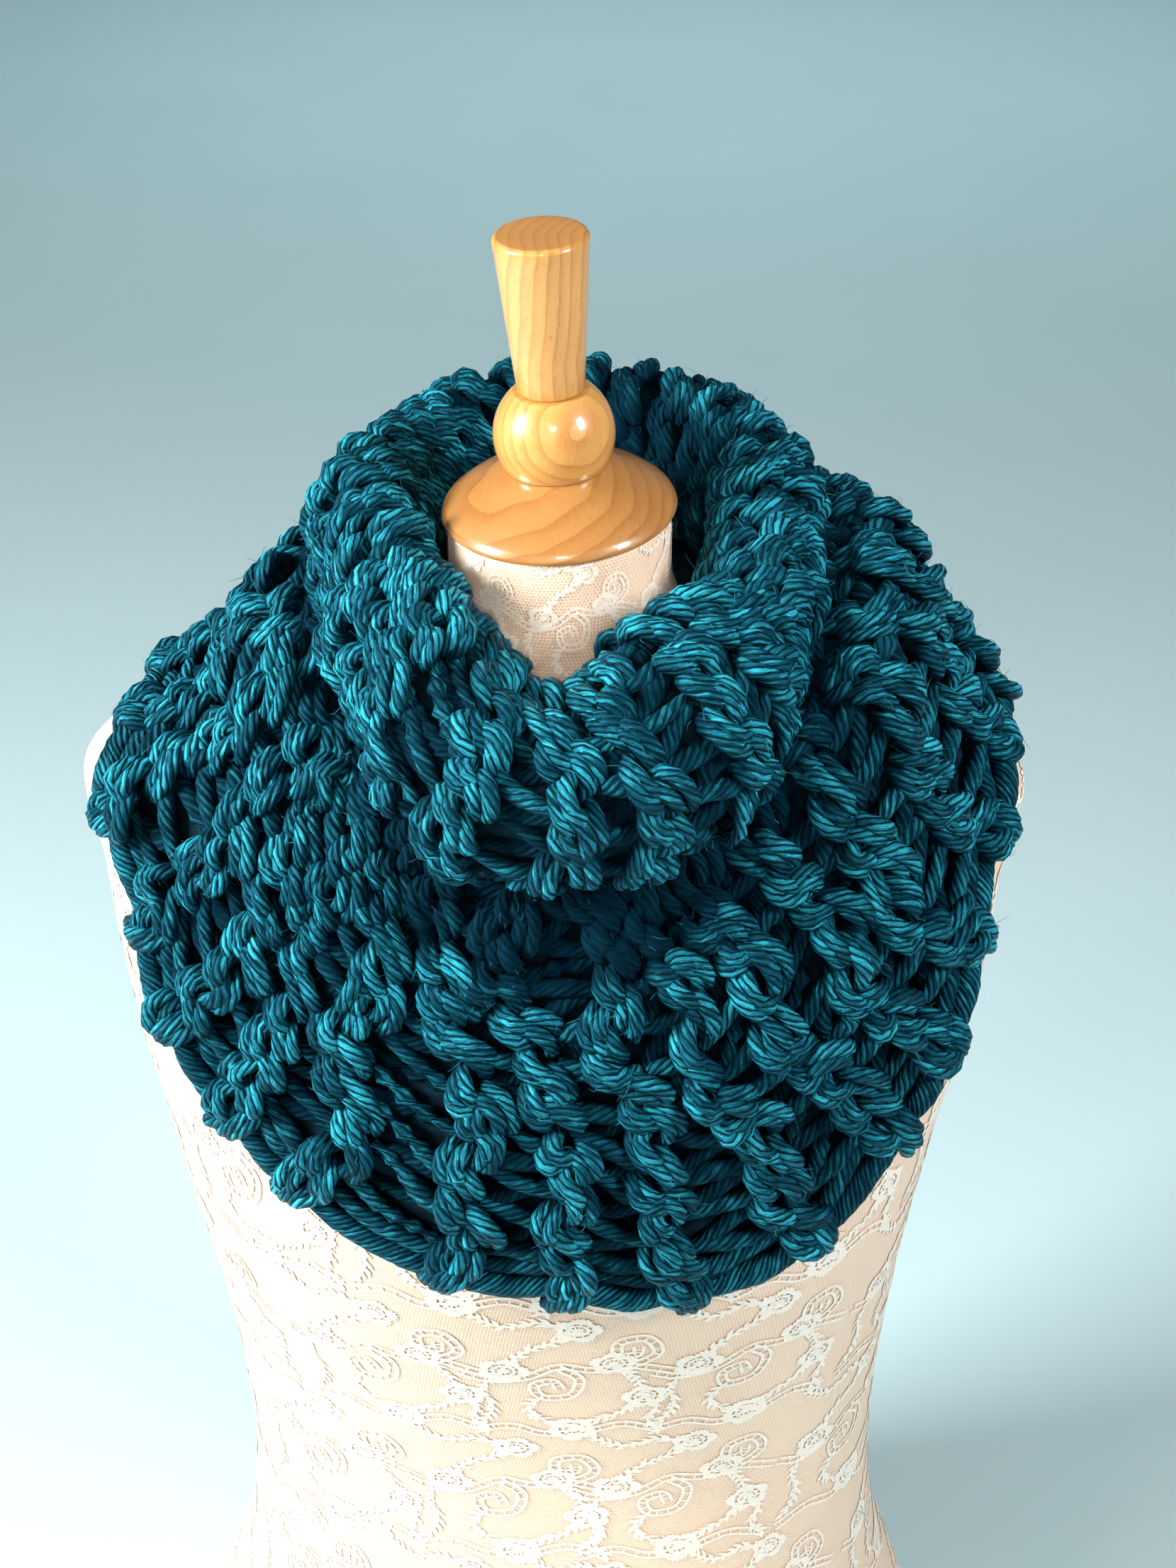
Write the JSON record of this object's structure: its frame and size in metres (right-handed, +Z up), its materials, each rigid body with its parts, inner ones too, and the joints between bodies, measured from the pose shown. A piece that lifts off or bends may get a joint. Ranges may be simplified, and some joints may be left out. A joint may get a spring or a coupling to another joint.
{
  "type": "infinity scarf on a dress form",
  "caption": "Chunky ribbed knitted infinity scarf, rolled at the neck and draped over the shoulders of a limbless dress form with a turned wooden neck cap, ball and handle.",
  "frame": {"origin": "middle of the dress form's flat underside, straight below the middle of its neck", "axes": "+Z up the form, -Y to its front, +X to the wearer's left"},
  "size_m": [0.3932, 0.282, 0.8334],
  "materials": {
    "teal_wool": "soft thick spun wool, ribbed",
    "cream_net": "net and lace stretched over a smooth padded shell",
    "lacquered_wood": "turned, clear gloss lacquer"
  },
  "bodies": {
    "root": {"scarf_neck_roll_front": "teal_wool", "scarf_neck_roll_left": "teal_wool", "scarf_neck_roll_back": "teal_wool", "scarf_neck_roll_right": "teal_wool", "scarf_shoulder_drape_front": "teal_wool", "scarf_shoulder_drape_left": "teal_wool", "scarf_shoulder_drape_back": "teal_wool", "scarf_shoulder_drape_right": "teal_wool", "dress_form": "cream_net", "neck_cap": "lacquered_wood", "ball_finial": "lacquered_wood", "handle": "lacquered_wood"}
  },
  "joints": []
}
